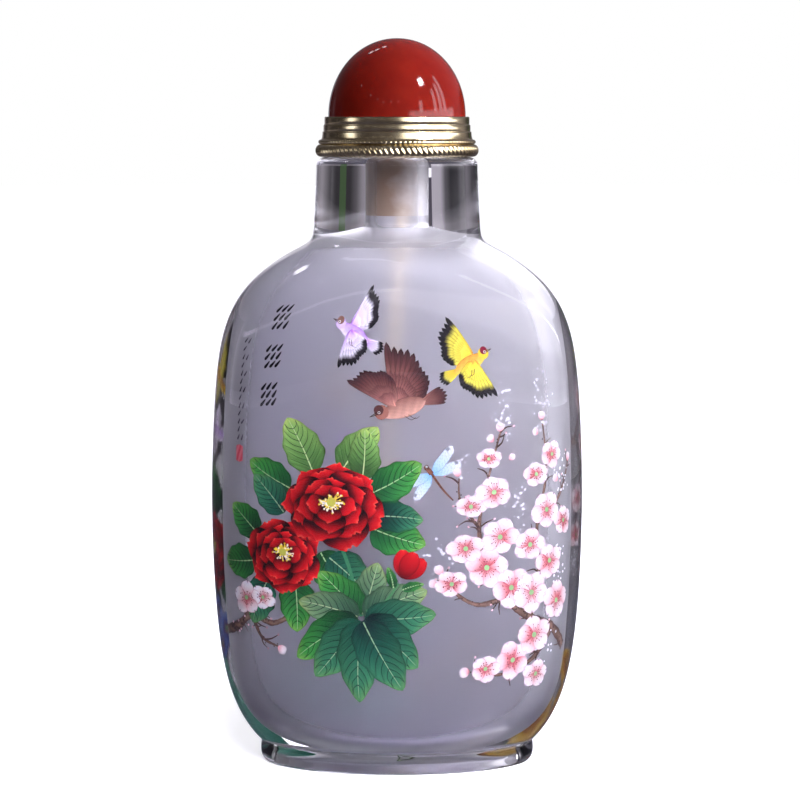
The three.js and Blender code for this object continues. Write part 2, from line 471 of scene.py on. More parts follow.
def hair(points, widths, colour, coats, steps=3):
    """A fine line in one colour, divided so that it follows the wall."""
    steps = max(steps, math.ceil(math.dist(points[0], points[-1]) / (len(points) - 1) * fineness / 0.4))
    line(points, widths, lambda share, v: colour, coats, steps, 2)


def dot(middle, radius, colour, coats):
    """A round touch, in rows across it."""
    rows = []
    for turn in (math.pi * i / 6 for i in range(7)):
        half = radius * (math.sin(turn) + 0.04)
        rows.append([(middle[0] - radius * math.cos(turn), middle[1] + half * v, colour) for v in (-1, 0, 1)])
    touch(rows, coats)


paint, tree, shader = finish_material("paint", Roughness=0.6, Specular_IOR_Level=0.1)
laid_colour = tree.nodes.new("ShaderNodeVertexColor")
laid_colour.layer_name = "paint"
brush_marks = tree.nodes.new("ShaderNodeHueSaturation")
strength = tree.nodes.new("ShaderNodeMapRange")
strength.inputs["To Min"].default_value = 0.84
strength.inputs["To Max"].default_value = 1.16
tree.links.new(noise_in(tree, 5200, 3), strength.inputs["Value"])
tree.links.new(strength.outputs["Result"], brush_marks.inputs["Value"])
tree.links.new(laid_colour.outputs["Color"], brush_marks.inputs["Color"])
tree.links.new(brush_marks.outputs["Color"], shader.inputs["Base Color"])


def dried(name):
    """Everything painted since the last time, each touch a thin closed film, as one piece."""
    points, colours, faces = [], [], []
    for rows, coats in wet:
        deep, wide = len(rows), len(rows[0])
        under = len(points)
        over = under + deep * wide
        for layer in (coats, coats + film):
            for x, z, colour in (touched for row in rows for touched in row):
                points.append(on_wall(x, z, wall_gap + coat * layer))
                colours.extend((*colour, 1.0))
        for i in range(deep - 1):
            for j in range(wide - 1):
                a, b = i * wide + j, (i + 1) * wide + j
                faces.append((over + a, over + b, over + b + 1, over + a + 1))
                faces.append((under + a, under + a + 1, under + b + 1, under + b))
        up, down = range(1, deep), range(deep - 2, 0, -1)
        edge = [*range(wide), *(i * wide + wide - 1 for i in up)]
        edge += [*range(deep * wide - 2, (deep - 1) * wide - 1, -1), *(i * wide for i in down)]
        for a, b in zip(edge, edge[1:] + edge[:1]):
            faces.append((under + a, over + a, over + b, under + b))
    wet.clear()
    piece = new_piece(name, points, faces)
    layer = piece.data.color_attributes.new("paint", "FLOAT_COLOR", "POINT")
    layer.data.foreach_set("color", colours)
    piece.data.materials.append(paint)
    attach(piece, "root")


# Each green from the leaf's stalk to its tip
greens = {
    "spring": inks((0, 52, 84, 44), (0.35, 84, 126, 64), (0.75, 124, 164, 86), (1, 176, 196, 104)),
    "green": inks((0, 14, 50, 30), (0.35, 32, 92, 48), (0.75, 58, 134, 60), (1, 122, 172, 78)),
    "deep": inks((0, 12, 38, 38), (0.35, 26, 78, 62), (0.75, 52, 112, 80), (1, 96, 148, 88)),
    "olive": inks((0, 38, 58, 50), (0.35, 64, 98, 74), (0.75, 100, 132, 94), (1, 142, 160, 96)),
}


def leaf(root, aim, length, width, bend, tone, coats):
    """A toothed leaf with a pale midrib and dark side veins, in one of the greens."""
    rng = random.Random(repr((root, aim)))
    lit_side = 1 if math.cos(math.radians(aim)) < 0 else -1
    drift = rng.uniform(-0.25, 0.25)
    waves = rng.uniform(0, 6)
    vein_pairs = 7

    def outline(u):
        return math.sin(math.pi * min(1, u**0.74)) ** 0.64 * (1 + 0.05 * math.sin(21 * u + waves))

    def shade(u, v):
        colour = blended(greens[tone], 0.86 * u + 0.16 * abs(v) + drift * (1 - u))
        wave = 0.5 + 0.5 * math.cos((u - 0.3 * abs(v)) * 2 * math.pi * vein_pairs)
        rib = wave * min(1, 3 * abs(v)) * (1 - 0.5 * u)
        colour = colour * (1 + 0.2 * v * lit_side) * (1.14 - 0.4 * rib)
        if abs(v) < 0.1:
            colour = colour * 0.78
        rim = max(0, (abs(v) - 0.84) / 0.16)
        return colour.lerp(colour * 0.42, rim) if u < 0.97 else colour * 0.6

    def place(u, v):
        return away(away(root, aim, length * u), aim + 90, width * outline(u) * v + bend * length * u * u)

    brushed(root, aim, length, width, outline, shade, coats, bend, (30, 18))
    vein_coats = coats + 0.4  # so that a vein's top stays under the next leaf
    pale = blended(greens[tone], 0.95).lerp(ink(206, 224, 196), 0.35)
    dark = blended(greens[tone], 0.05) * 0.5
    hair([place(u, 0) for u in (0.02, 0.35, 0.7, 0.95)], (0.17, 0.05), pale, vein_coats, 5)
    for start in (0.1 + 0.115 * k for k in range(vein_pairs)):
        stop = min(0.94, start + 0.27)
        for side in (-1, 1):
            bow = place((start + stop) / 2 - 0.03, side * 0.42)
            hair([place(start, 0), bow, place(stop - 0.02, side * 0.84)], (0.1, 0.045), dark, vein_coats)


# Round the peonies
for index, (root, aim, length, width, bend, tone) in enumerate(
    [
        ((-9.8, 36.6), 112, 7.2, 2.4, 0.10, "spring"),
        ((-6.4, 37.0), 58, 6.6, 2.1, -0.12, "spring"),
        ((-4.0, 36.0), 82, 6.0, 1.9, 0.10, "spring"),
        ((-3.2, 34.2), 24, 7.0, 2.2, 0.12, "green"),
        ((-12.6, 34.6), 158, 6.4, 2.1, -0.10, "green"),
        ((-13.4, 31.6), 128, 6.0, 2.0, 0.10, "deep"),
        ((-17.0, 28.8), 138, 5.4, 2.0, 0.08, "green"),
        ((-17.6, 25.6), 190, 5.6, 2.1, -0.08, "green"),
        ((-15.8, 23.4), 238, 6.0, 2.2, 0.10, "deep"),
        ((-12.2, 23.8), 276, 6.4, 2.3, -0.10, "green"),
        ((-3.0, 30.2), 336, 6.6, 2.3, 0.10, "green"),
        ((-2.6, 31.6), 2, 5.6, 1.9, -0.12, "deep"),
        ((-9.0, 27.2), 298, 6.4, 2.3, 0.06, "green"),
        ((-5.6, 27.4), 264, 6.2, 2.3, -0.06, "olive"),
        ((-8.0, 26.6), 322, 6.6, 2.3, -0.08, "deep"),
    ]
):
    leaf(root, aim, length, width, bend, tone, 1 + index % 4)
# The cluster that hangs under them
for index, (aim, length, width, bend, tone) in enumerate(
    [
        (70, 6.6, 2.3, 0.06, "olive"),
        (126, 7.0, 2.4, 0.12, "green"),
        (30, 8.0, 2.5, -0.12, "olive"),
        (160, 7.4, 2.3, 0.12, "olive"),
        (204, 9.2, 2.5, 0.14, "green"),
        (356, 8.4, 2.6, 0.12, "deep"),
        (236, 9.0, 2.7, -0.10, "deep"),
        (324, 8.6, 2.8, -0.10, "deep"),
        (262, 9.8, 2.8, 0.08, "deep"),
        (294, 9.6, 2.9, 0.10, "deep"),
    ]
):
    leaf(away((-4.2, 19.4), aim, 0.35), aim, length, 0.92 * width, bend, tone, 6 + index)
hair([(-7.6, 30.5), (-5.6, 25.5), (-4.2, 19.6)], (0.5, 0.35), ink(60, 120, 84), 5, 8)
hair([(-3.6, 20.2), (-1.4, 21.4), (0.2, 23.6)], (0.3, 0.24), ink(70, 124, 80), 10, 8)
leaf((-0.4, 23.0), 96, 2.6, 0.6, 0.15, "green", 13)
leaf((0.6, 22.8), 24, 2.6, 0.6, -0.15, "green", 13)
dried("picture_leaves")

# ------------------------------------------------------------------------------------------------
# The peonies. Two full red flowers and a bud, their petals laid from the outside in, dark at the
# root and bright along the rim, with yellow and white stamens.
# ------------------------------------------------------------------------------------------------
crimsons = inks((0, 26, 2, 10), (0.3, 84, 6, 16), (0.6, 168, 14, 24), (0.88, 204, 26, 32), (1, 232, 84, 72))


def peony(middle, size, facing, coats, squash):
    """A full flower: four rings of petals, each ring's farther ones first, then its stamens."""
    rng = random.Random(repr(middle))
    rings = [(7, 1.0, 0.5), (7, 0.84, 0.42), (6, 0.66, 0.33), (5, 0.46, 0.24)]
    for ring, (count, reach, width) in enumerate(rings):
        hidden = (rings[ring + 1][1] / reach) if ring < 3 else 0.42
        aims = (facing + 360 * (k + ring / 2) / count for k in range(count))
        for aim in sorted(aims, key=lambda aim: -math.sin(math.radians(aim))):
            aim += rng.uniform(-8, 8)
            lean = 1 - 0.12 * math.sin(math.radians(aim))
            phase = rng.uniform(0, 6)
            light = rng.uniform(0.82, 1.12) * (1 + 0.14 * math.sin(math.radians(aim + 50)))

            def frill(v):
                return 0.04 * math.sin(3.3 * v + phase) + 0.025 * math.sin(9 * v + 2 * phase) - 0.07 * v * v

            def shade(u, v):
                show = max(0, (u - hidden + 0.12) / (1.12 - hidden))
                colour = blended(crimsons, show**0.8 * (1 - 0.14 * v * v)) * light
                colour = colour * (1 + 0.12 * math.sin(26 * v + 4 * u + phase) * (1 - show))
                return colour * 0.3 if abs(v) > 0.94 else colour

            brushed(
                middle, aim, size * reach * lean * rng.uniform(0.94, 1.05), size * width,
                lambda u: math.sin(math.pi * min(1, u**1.5) * 0.965) ** 0.5,
                shade, coats, rng.uniform(-0.06, 0.06), (20, 18), frill, squash,
            )
            coats += 0.6
    for k in range(56):
        reach = size * rng.uniform(0.1, 0.27)
        tip = away(middle, rng.uniform(0, 360), reach, squash)
        pale = ink(244, 238, 230) if tip[1] < middle[1] else ink(228, 200, 84)
        hair([middle, tip], (0.05, 0.09), pale, coats + 1, 2)
        dot(tip, 0.11, ink(238, 210, 56) if rng.random() < 0.7 else ink(250, 240, 214), coats + 1.5)
    dot(middle, size * 0.09, ink(188, 186, 76), coats + 2)


def peony_bud(root, aim, size, coats):
    """Three closed petals, the middle one in front."""

    def shade(u, v):
        return blended(crimsons, 0.3 + 0.65 * u * (1 - 0.3 * abs(v))) * (0.45 if abs(v) > 0.9 else 1)

    for side in (-26, 24, 0):
        brushed(
            root, aim + side, size, size / 3,
            lambda u: math.sin(math.pi * min(1, u**1.1) * 0.96) ** 0.6,
            shade, coats, 0, (14, 12),
        )
        coats += 0.5


peony((-13.6, 26.9), 4.9, 20, 9, 0.9)
peony((-7.6, 33.2), 6.0, 80, 17, 0.84)
peony_bud((0.6, 24.2), 64, 3.4, 11)
dried("picture_peonies")

# ------------------------------------------------------------------------------------------------
# The apple bough. It comes in from the right on dark twigs, with pink and white blossom, closed
# buds, and specks of white for the smallest ones.
# ------------------------------------------------------------------------------------------------
pinks = inks(
    (0, 206, 100, 108), (0.18, 230, 156, 162), (0.42, 248, 218, 222), (0.75, 254, 246, 248),
    (1, 244, 240, 250),
)


def blossom(middle, size, facing, coats, squash, tones=pinks):
    """An open flower of five notched petals, with stamens round a green eye."""
    rng = random.Random(repr(middle))
    rim = tones[1][1].lerp(ink(150, 120, 160), 0.35)
    for k in range(5):
        aim = facing + 72 * k + rng.uniform(-6, 6)
        flush = rng.uniform(-0.1, 0.2)

        def shade(u, v):
            colour = blended(tones, u - flush - 0.1 * v * v)
            colour = colour * (1 - 0.1 * (1 + math.sin(17 * v)) * (1 - u))
            return colour.lerp(rim, 0.6) if abs(v) > 0.88 or u > 0.97 else colour

        brushed(
            middle, aim, size * rng.uniform(0.9, 1.06), size * 0.45,
            lambda u: math.sin(math.pi * min(1, u**1.25) * 0.95) ** 0.58,
            shade, coats + 0.7 * (k % 3), 0, (10, 12),
            lambda v: -0.13 * math.exp(-((v / 0.2) ** 2)) - 0.05 * v * v, squash,
        )
    for k in range(20):
        tip = away(middle, facing + 18 * k + rng.uniform(-8, 8), size * rng.uniform(0.26, 0.54), squash)
        hair([middle, tip], (0.055, 0.035), ink(172, 84, 86), coats + 3, 2)
        dot(tip, 0.07, ink(120, 44, 50), coats + 3.4)
    dot(middle, size * 0.12, ink(150, 196, 132), coats + 4)


def bud(middle, size, aim, coats):
    """A closed bud of three petals."""
    for side in (-14, 14, 0):
        brushed(
            middle, aim + side, size, size * 0.36,
            lambda u: math.sin(math.pi * min(1, u**1.1) * 0.97) ** 0.6,
            lambda u, v: blended(pinks, 0.1 + 0.7 * u) * (0.78 if abs(v) > 0.84 else 1),
            coats, 0, (10, 8),
        )
        coats += 0.7


bark_tones = inks((0, 58, 38, 34), (0.45, 138, 110, 96), (1, 74, 52, 48))


def twig(points, widths, coats):
    """A twig with three short spurs for each stretch, some with a bud, and knots in its bark."""
    rng = random.Random(repr(points) + repr(widths))

    def bark(share, v):
        tone = blended(bark_tones, (v + 1) / 2)
        return tone * (1 + 0.25 * math.sin(53 * share + 3 * v))

    line(points, widths, bark, coats, 12, 6, 0.14)
    path = curve_through(points, 10)
    for _ in range(3 * (len(points) - 1)):
        k = rng.randrange(1, len(path) - 1)
        heading = math.degrees(math.atan2(path[k + 1][1] - path[k][1], path[k + 1][0] - path[k][0]))
        aim = heading + rng.choice((-1, 1)) * rng.uniform(30, 65)
        reach = rng.uniform(0.7, 2.2)
        knee, tip = away(path[k], aim, reach * 0.5), away(path[k], aim + rng.uniform(-25, 25), reach)
        hair([path[k], knee, tip], (0.26, 0.08), ink(82, 62, 58), coats + 0.2, 4)
        if rng.random() < 0.6:
            dot(tip, 0.14, ink(236, 196, 204), coats + 0.6)
    for _ in range(3 * len(points)):
        x, z = path[rng.randrange(len(path))]
        dot((x + rng.uniform(-0.3, 0.3), z + rng.uniform(-0.3, 0.3)), 0.09, ink(52, 34, 34), coats + 0.4)


def specks(middle, spread, count):
    """A scatter of white dots round a point, for the farthest blossom."""
    rng = random.Random(repr(middle))
    for _ in range(count):
        place = (middle[0] + rng.gauss(0, spread[0]), middle[1] + rng.gauss(0, spread[1]))
        dot(place, rng.uniform(0.08, 0.19), ink(250, 248, 255), 1)


main_bough = [
    (23.6, 14.6), (20.4, 17.2), (16.6, 18.8), (13.0, 21.4),
    (10.6, 25.2), (9.6, 30.0), (10.6, 35.4), (12.4, 41.6),
]
twig(main_bough, (1.3, 0.2), 1)
twig([(16.6, 18.8), (17.6, 24.0), (17.2, 30.0), (18.6, 36.2), (18.0, 43.6)], (0.8, 0.16), 0)
twig([(13.0, 21.4), (9.6, 20.8), (6.8, 22.4), (5.6, 24.6)], (0.7, 0.2), 0)
twig([(20.4, 17.2), (17.6, 13.8), (13.4, 12.2), (9.4, 12.6)], (0.8, 0.2), 0)
twig([(17.2, 30.0), (21.0, 33.2), (23.4, 37.4)], (0.5, 0.3), 0)
twig([(9.6, 30.0), (7.4, 33.2), (7.2, 36.0)], (0.4, 0.15), 0)
for index, (x, z, size, facing, squash) in enumerate(
    [
        (10.6, 25.2, 2.7, 10, 0.95), (13.8, 22.6, 2.6, 50, 1.0), (8.0, 27.6, 2.4, 30, 0.8),
        (12.2, 28.8, 2.5, 70, 0.9), (8.6, 32.6, 2.1, 0, 0.7), (11.4, 34.2, 2.4, 40, 0.9),
        (10.8, 38.2, 1.7, 20, 0.75), (16.6, 21.8, 2.7, 60, 1.0), (19.2, 25.4, 2.4, 35, 0.9),
        (16.2, 27.6, 2.4, 5, 0.85), (18.6, 31.6, 2.4, 55, 1.0), (17.0, 36.0, 2.0, 25, 0.8),
        (19.6, 38.2, 1.9, 65, 0.9), (17.4, 16.6, 2.7, 30, 0.9), (20.8, 20.4, 2.5, 10, 1.0),
        (14.6, 13.8, 2.5, 45, 0.95), (18.4, 11.8, 2.2, 15, 0.8), (11.0, 13.0, 2.1, 70, 0.85),
        (21.8, 30.0, 2.1, 20, 0.9), (6.4, 23.4, 2.1, 50, 0.8),
    ]
):
    blossom((x, z), size, facing, 3 + 5 * (index % 3), squash)
for x, z, size, aim in [
    (12.2, 41.4, 1.1, 80), (11.4, 40.2, 1.0, 130), (18.1, 42.4, 1.1, 95), (17.4, 40.8, 0.9, 140),
    (5.2, 24.6, 1.2, 120), (9.0, 12.8, 1.3, 190), (23.0, 37.0, 1.1, 70), (4.7, 23.4, 1.0, 170),
    (13.4, 38.0, 0.9, 40), (20.6, 35.0, 1.0, 150), (7.1, 36.2, 1.0, 100),
]:
    bud((x, z), size, aim, 4)
for place, spread, count in [
    ((12.6, 44.0), (0.7, 1.6), 30), ((18.2, 45.0), (0.8, 1.8), 36), ((21.2, 25.0), (0.8, 2.2), 34),
    ((5.0, 27.2), (0.9, 1.0), 20), ((14.6, 32.0), (0.7, 1.8), 26), ((21.4, 35.8), (0.9, 1.6), 28),
    ((19.6, 15.4), (1.2, 1.0), 18), ((7.0, 37.4), (0.7, 0.8), 14),
]:
    specks(place, spread, count)
# A second bough low on the left
twig([(-25.0, 16.4), (-21.4, 17.2), (-18.4, 19.0), (-15.4, 18.2), (-12.4, 19.6)], (1.3, 0.5), 0)
twig([(-18.4, 19.0), (-17.2, 16.4), (-14.8, 15.4)], (0.6, 0.2), 0)
blossom((-19.2, 20.9), 2.3, 15, 6, 0.9)
blossom((-16.6, 21.2), 1.9, 50, 4, 0.8)
bud((-14.9, 15.4), 1.2, 330, 6)
dried("picture_blossom")

# ------------------------------------------------------------------------------------------------
# The birds. Three small ones in flight and a dragonfly, feather by feather, in violet and white,
# browns, yellow and pale blue, with black wing tips.
# ------------------------------------------------------------------------------------------------


def feather(root, aim, length, width, tones, coats, bend=0):
    """A feather with a dark shaft and rim."""

    def shade(u, v):
        colour = blended(tones, u) * (1.1 if v > 0 else 0.88)
        if abs(v) < 0.16:
            colour = colour * 0.62
        return colour * 0.4 if abs(v) > 0.86 else colour * (1 + 0.1 * math.sin(40 * u + 9 * v))

    brushed(
        root, aim, length, width, lambda u: min(1, u / 0.14) ** 0.5 * max(0, 1 - u**5) ** 0.5,
        shade, coats, bend, (16, 8),
    )


def wing(root, aims, reach, tones, coats, count=12):
    """Flight feathers fanned from the first direction to the second, then two rows of coverts."""
    middle = (aims[0] + aims[1]) / 2
    for row, (share, pale) in enumerate([(1.0, 1.0), (0.58, 1.12), (0.36, 1.25)]):
        for k in range(count):
            t = k / (count - 1)
            aim = aims[0] + (aims[1] - aims[0]) * t
            kept, stretch = (tones, 1) if row == 0 else (tones[:-1], 0.75)
            toned = [(s / stretch, c * pale) for s, c in kept]
            length = reach * share * (1 - 0.5 * t) * (1 + 0.04 * math.sin(5 * k))
            quill = away(root, middle, 0.06 * reach * t)
            feather(quill, aim, length, reach * share * 0.075, toned, coats, 0.05)
            coats += 0.25
    return coats


def bird(middle, size, heading, plumes, wings, coats):
    """A small bird in flight. Each wing is (root along the body, first aim, last aim, reach)."""
    upright = 90 if math.cos(math.radians(heading)) > 0 else -90

    def on_body(far, up=0.0):
        return away(away(middle, heading, size * far), heading + upright, size * up)

    for k in range(6):
        feather(
            on_body(-0.36), heading + 180 + (k - 2.5) * 7, size * (0.62 - 0.03 * abs(k - 2.5)), size * 0.05,
            plumes["wing"], coats + 0.3 * k,
        )
    coats += 2
    root, first, last, reach = wings[0]
    coats = wing(on_body(root, 0.05), (first, last), reach, plumes["wing"], coats)

    def plumage(u, v):
        across = v * upright / 90
        colour = blended([(0, plumes["belly"]), (1, plumes["back"])], (across + 1) / 2)
        colour = colour * (1 + 0.16 * math.sin(34 * u + 5 * v) * math.sin(9 * v))
        return colour * 0.6 if abs(v) > 0.92 else colour

    brushed(
        on_body(-0.5), heading, size, size * 0.2,
        lambda u: math.sin(math.pi * min(1, u**0.78 * 0.97)) ** 0.75,
        plumage, coats, 0, (24, 14),
    )
    coats += 1
    for root, first, last, reach in wings[1:]:
        coats = wing(on_body(root, 0.08), (first, last), reach, plumes["wing"], coats)
    dot(on_body(0.42, 0.05), size * 0.145, plumes["head"], coats)
    dot(on_body(0.46, 0.11), size * 0.1, plumes["cap"], coats + 0.5)
    for side in (-0.02, 0.02):
        hair([on_body(0.53, 0.05 + side), on_body(0.68, 0.03)], (0.14, 0.03), ink(60, 44, 40), coats + 1)
    dot(on_body(0.47, 0.06), 0.16, ink(244, 240, 236), coats + 1.4)
    dot(on_body(0.47, 0.06), 0.1, ink(20, 16, 18), coats + 1.8)
    for far in (-0.08, 0.0):
        foot = [on_body(far, -0.16), on_body(far - 0.1, -0.28), on_body(far - 0.2, -0.26)]
        hair(foot, (0.08, 0.04), ink(86, 60, 50), coats)


def dragonfly(middle, size, heading, tones, body, coats):
    """Four veined wings and a banded tail."""
    for side in (1, -1):
        for aim, reach in ((112, 1.0), (78, 1.1)):

            def shade(u, v):
                colour = blended(tones, u)
                if (u * 9 + abs(v)) % 1.0 < 0.14 or abs(abs(v) - 0.35) < 0.06:
                    colour = colour * 0.66
                return colour * 0.35 if abs(v) > 0.88 or (0.8 < u < 0.9 and v * side < -0.2) else colour

            brushed(
                middle, heading + side * aim, size * reach, size * 0.17,
                lambda u: (min(1, u / 0.3) ** 0.7) * max(0, 1 - u**7) ** 0.5,
                shade, coats, -0.04 * side, (26, 14),
            )
            coats += 1
    tail, head = away(middle, heading, -1.1 * size), away(middle, heading, 0.26 * size)
    sag = away(away(middle, heading, -0.55 * size), 270, 0.06 * size)
    line([tail, sag, middle], (0.16, 0.3), lambda t, v: body * (0.5 if (t * 9) % 1 < 0.2 else 1.0), coats, 14)
    line([middle, head], (0.62, 0.5), lambda t, v: body * (1.2 - 0.4 * abs(v)), coats + 1, 6, 6)
    dot(head, 0.32, body * 0.6, coats + 2)
    dot(away(head, 90, 0.1), 0.13, ink(210, 220, 214), coats + 2.4)


black, tip_black = (34, 28, 34), (18, 16, 20)
swallow = {
    "wing": inks((0, 186, 100, 232), (0.3, 226, 190, 248), (0.7, 246, 240, 252), (0.78, *black), (1, *tip_black)),
    "back": ink(190, 140, 226), "belly": ink(246, 238, 250),
    "head": ink(226, 200, 240), "cap": ink(120, 84, 72),
}
wren = {
    "wing": inks((0, 196, 136, 122), (0.35, 140, 92, 84), (0.72, 92, 54, 52), (1, 44, 26, 30)),
    "back": ink(124, 80, 70), "belly": ink(214, 164, 146), "head": ink(150, 98, 84), "cap": ink(84, 50, 48),
}
finch = {
    "wing": inks((0, 240, 140, 60), (0.3, 238, 206, 64), (0.7, 220, 208, 78), (0.78, *black), (1, *tip_black)),
    "back": ink(214, 146, 56), "belly": ink(240, 214, 96), "head": ink(236, 198, 60), "cap": ink(120, 20, 44),
}
sky_wings = inks((0, 112, 178, 240), (0.35, 186, 216, 246), (1, 240, 242, 252))
bird((-5.6, 53.2), 4.6, 152, swallow, [(0.1, 62, 4, 5.6), (0.06, 250, 322, 4.8)], 2)
bird((0.6, 44.4), 5.8, 198, wren, [(0.12, 96, 20, 7.8), (0.1, 150, 96, 6.6)], 2)
bird((9.0, 49.6), 4.6, 28, finch, [(0.1, 118, 190, 5.8), (0.08, 300, 226, 5.4)], 2)
dragonfly((4.0, 36.6), 3.7, 128, sky_wings, ink(120, 76, 60), 2)
dried("picture_birds")

# ------------------------------------------------------------------------------------------------
# The brush strokes. Three blocks and a column of plain slanted strokes in black ink at the left edge,
# with a red seal that is left blank. None of them is a letter.
# ------------------------------------------------------------------------------------------------


def dab(middle, length, width, aim):
    """One slanted stroke that runs out to a point."""
    brushed(
        away(middle, aim, -length / 2), aim, length, width,
        lambda u: min(1, (u + 0.05) / 0.2) ** 0.6 * (1 - u) ** 0.45,
        lambda u, v: ink(24, 20, 26) * (1 + 0.6 * u), 2, 0.06, (8, 4),
    )


rng = random.Random(7)
for block in range(3):
    for row in range(3):
        z = 55.6 - 4.5 * block - 0.95 * row
        for k in range(3):
            across = -15.4 - 0.2 * block + (k - 1) * 0.78 + rng.uniform(-0.06, 0.06)
            dab((across, z + 0.1 * (k - 1)), 1.15, 0.2, 50 + rng.uniform(-6, 6))
for row in range(13):
    z = 51.6 - 0.95 * row
    for k in range(2 - row % 2):
        dab((-20.0 + (k - 0.5) * 0.66, z), 0.8, 0.13, 55 + rng.uniform(-12, 12))
brushed(
    (-20.1, 37.2), 90, 2.1, 0.6,
    lambda u: max(0, 1 - abs(2 * u - 1) ** 8) ** 0.125,
    lambda u, v: ink(184, 48, 60).lerp(ink(206, 120, 128), 0.4 + 0.4 * math.sin(7 * u + 5 * v)),
    2, 0, (12, 8),
)
dried("picture_strokes")

# ------------------------------------------------------------------------------------------------
# The picture on the back. In the same hand and colours but plainer: a peony over leaves, small blue
# flowers, green rocks at the foot and two birds, and on the other side a bough over golden flowers.
# ------------------------------------------------------------------------------------------------
blues = inks((0, 236, 232, 160), (0.15, 60, 76, 170), (0.5, 92, 120, 206), (1, 170, 190, 240))
golds = inks((0, 120, 70, 30), (0.3, 196, 140, 50), (0.7, 232, 190, 84), (1, 246, 224, 150))
rock_tones = inks((0, 52, 124, 110), (0.4, 86, 178, 152), (0.75, 134, 212, 186), (1, 198, 236, 218))


def rock(root, aim, length, width, coats):
    """A green rock with a wrinkled face and a pale top."""
    rng = random.Random(repr(root))
    phase = rng.uniform(0, 6)

    def shade(u, v):
        wrinkle = math.sin(11 * u + 7 * v + phase) * math.sin(5 * u - 9 * v)
        return blended(rock_tones, 0.75 * u + 0.2 * v * v + 0.16 * wrinkle) * (0.5 if abs(v) > 0.92 else 1.0)

    brushed(
        root, aim, length, width,
        lambda u: (1 - 0.5 * u) * max(0, 1 - u**4) ** 0.5 * (1 + 0.1 * math.sin(13 * u + phase)),
        shade, coats, rng.uniform(-0.1, 0.1), (26, 18),
    )


fineness = 0.58  # the back is painted more coarsely
for root, aim, length, width, coats in [
    ((-43.6, 4.6), 96, 6.2, 3.2, 0), ((-33.0, 4.8), 84, 9.4, 3.0, 1), ((-38.4, 4.4), 92, 10.4, 3.6, 2),
    ((-29.4, 6.0), 78, 6.0, 2.4, 2), ((-47.6, 4.8), 90, 4.2, 2.6, 1), ((-35.6, 4.4), 90, 6.0, 2.6, 4),
]:
    rock(root, aim, length, width, coats)
for index, (root, aim, length, width, bend, tone) in enumerate(
    [
        ((-38.6, 28.6), 100, 7.4, 2.5, 0.1, "green"), ((-41.0, 28.4), 142, 6.8, 2.3, -0.1, "spring"),
        ((-36.0, 28.6), 52, 7.0, 2.3, 0.1, "green"), ((-43.4, 25.0), 176, 6.6, 2.3, 0.1, "green"),
        ((-35.0, 25.2), 8, 6.6, 2.2, -0.1, "deep"), ((-42.0, 22.0), 220, 6.8, 2.4, 0.1, "deep"),
        ((-36.4, 22.0), 318, 6.8, 2.4, -0.1, "green"), ((-39.4, 21.0), 262, 7.4, 2.5, 0.08, "deep"),
    ]
):
    leaf(root, aim, length, width, bend, tone, 4 + index % 3)
hair([(-39.2, 24.0), (-40.2, 15.0), (-39.0, 9.0)], (0.6, 0.5), ink(52, 100, 66), 3, 8)
peony((-39.4, 25.0), 4.9, 40, 9, 0.9)
for index, (x, z, size) in enumerate(
    [(-39.0, 17.6, 2.3), (-36.2, 16.0, 2.0), (-41.8, 15.6, 2.1), (-38.0, 14.4, 1.7), (-43.6, 18.4, 1.6)]
):
    blossom((x, z), size, 25 * index, 10 + 5 * (index % 2), 0.9, blues)
bird((-39.0, 44.2), 4.4, 164, finch, [(0.1, 70, 10, 5.0), (0.06, 250, 320, 4.4)], 2)
bird((-38.6, 38.4), 4.6, 172, swallow, [(0.1, 80, 20, 5.2), (0.06, 246, 318, 4.6)], 2)
twig([(28.0, 40.4), (32.4, 38.2), (37.0, 37.6), (41.0, 35.0), (43.6, 30.4), (44.4, 24.6)], (1.0, 0.2), 1)
twig([(37.0, 37.6), (40.2, 41.0), (44.0, 43.4)], (0.5, 0.2), 1)
twig([(41.0, 35.0), (38.0, 31.6), (37.4, 27.6)], (0.5, 0.2), 1)
for index, (x, z, size) in enumerate(
    [
        (34.0, 39.6, 2.3), (41.2, 36.8, 2.4), (44.4, 29.8, 2.3), (38.0, 30.8, 2.1), (43.8, 43.6, 2.0),
        (31.4, 36.8, 2.1), (46.0, 24.6, 2.2), (37.4, 26.6, 1.8), (40.0, 42.0, 1.8),
    ]
):
    blossom((x, z), size, 31 * index, 3 + 5 * (index % 2), 0.9)
for index, (x, z, size) in enumerate(
    [(39.0, 9.6, 2.6), (35.4, 8.4, 2.2), (42.6, 8.2, 2.2), (37.2, 12.6, 1.8)]
):
    blossom((x, z), size, 19 * index, 3 + 5 * (index % 2), 0.85, golds)
    leaf((x, z - 1.6), 200 + 40 * index, 4.4, 1.4, 0.1, "olive", 2)
specks((45.0, 46.0), (1.0, 1.2), 24)
specks((37.2, 24.0), (0.8, 1.2), 20)
dried("picture_back")

# ------------------------------------------------------------------------------------------------
# The plug. Natural cork, cut to a slight taper, that fills the mouth.
# ------------------------------------------------------------------------------------------------
plug_low, plug_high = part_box("stopper_plug")


def turned(name, profile, sides, relief=lambda turn, radius, z: 0.0):
    """A turned piece from its profile of (radius, height) in millimetres. The profile starts and
    ends on the axis, and relief moves a point outwards by its turn, radius and height."""
    rings = []
    for radius, z in profile[1:-1]:
        ring = []
        for turn in turns(sides):
            out = radius + relief(turn, radius, z)
            ring.append((out * math.cos(turn), out * math.sin(turn), z))
        rings.append(ring)
    return skinned(name, rings, [(0, 0, profile[0][1]), (0, 0, profile[-1][1])])


